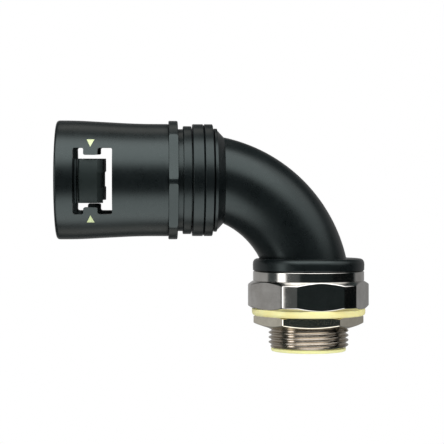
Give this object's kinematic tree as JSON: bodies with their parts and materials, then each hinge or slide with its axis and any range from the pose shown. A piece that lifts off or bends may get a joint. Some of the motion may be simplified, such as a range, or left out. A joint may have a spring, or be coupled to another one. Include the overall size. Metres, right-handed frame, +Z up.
{
  "type": "conduit connector",
  "caption": "Right-angle swivel connector: a black snap-in socket for corrugated conduit on a bent elbow that turns on a nickel-plated threaded adaptor with a locknut.",
  "frame": {"origin": "on the swivel and thread axis, at the underside of the hexagon that seats on the panel", "axes": "+Z up the swivel axis away from the thread, the conduit arm points along -X"},
  "size_m": [0.0975, 0.037, 0.0718],
  "materials": {
    "black_polyamide": "fine satin moulded surface",
    "nickel": "nickel plated, satin turned",
    "liner_yellow": "smooth pale yellow",
    "washer_yellow": "smooth pale yellow sealing ring",
    "marker_green": "pale yellow-green inlay",
    "seal_rubber": "matt",
    "spring_steel": "bright"
  },
  "bodies": {
    "adaptor": {"thread_adaptor": "nickel", "throat_liner": "liner_yellow"},
    "washer": {"sealing_washer": "washer_yellow"},
    "nut": {"locknut": "nickel"},
    "elbow": {"elbow_body": "black_polyamide", "swivel_seal": "seal_rubber", "swivel_clip": "spring_steel", "socket_body": "black_polyamide", "socket_seal": "seal_rubber", "conduit_seal": "seal_rubber", "seal_follower": "black_polyamide", "locking_cap": "black_polyamide", "cap_seal": "seal_rubber", "latch_ring": "black_polyamide", "front_upper_marker": "marker_green", "front_lower_marker": "marker_green", "rear_upper_marker": "marker_green", "rear_lower_marker": "marker_green"},
    "front_latch": {"front_tongue": "black_polyamide"},
    "rear_latch": {"rear_tongue": "black_polyamide"}
  },
  "joints": [
    {"name": "elbow_swivel", "type": "hinge", "parent": "adaptor", "child": "elbow", "pos_m": [0, 0, 0.0119], "axis": [0, 0, 1], "continuous": true},
    {"name": "front_tongue_flex", "type": "hinge", "parent": "elbow", "child": "front_latch", "pos_m": [-0.0711, -0.01558, 0.03924], "axis": [0, 0.0523, -0.9986], "range_deg": [0, 8], "stiffness_Nm_per_rad": 0.05},
    {"name": "rear_tongue_flex", "type": "hinge", "parent": "elbow", "child": "rear_latch", "pos_m": [-0.0711, 0.01558, 0.04087], "axis": [0, -0.0523, 0.9986], "range_deg": [0, 8], "stiffness_Nm_per_rad": 0.05},
    {"name": "washer_slide", "type": "slide", "parent": "adaptor", "child": "washer", "axis": [0, 0, -1], "range_m": [0, 0.0046]},
    {"name": "locknut_turn", "type": "hinge", "parent": "washer", "child": "nut", "pos_m": [0, 0, -0.0022], "axis": [0, 0, -1], "range_deg": [0, 1080]}
  ],
  "couplings": [
    {"joint": "washer_slide", "follows": "locknut_turn", "m_per_rad": 0.00023873}
  ]
}
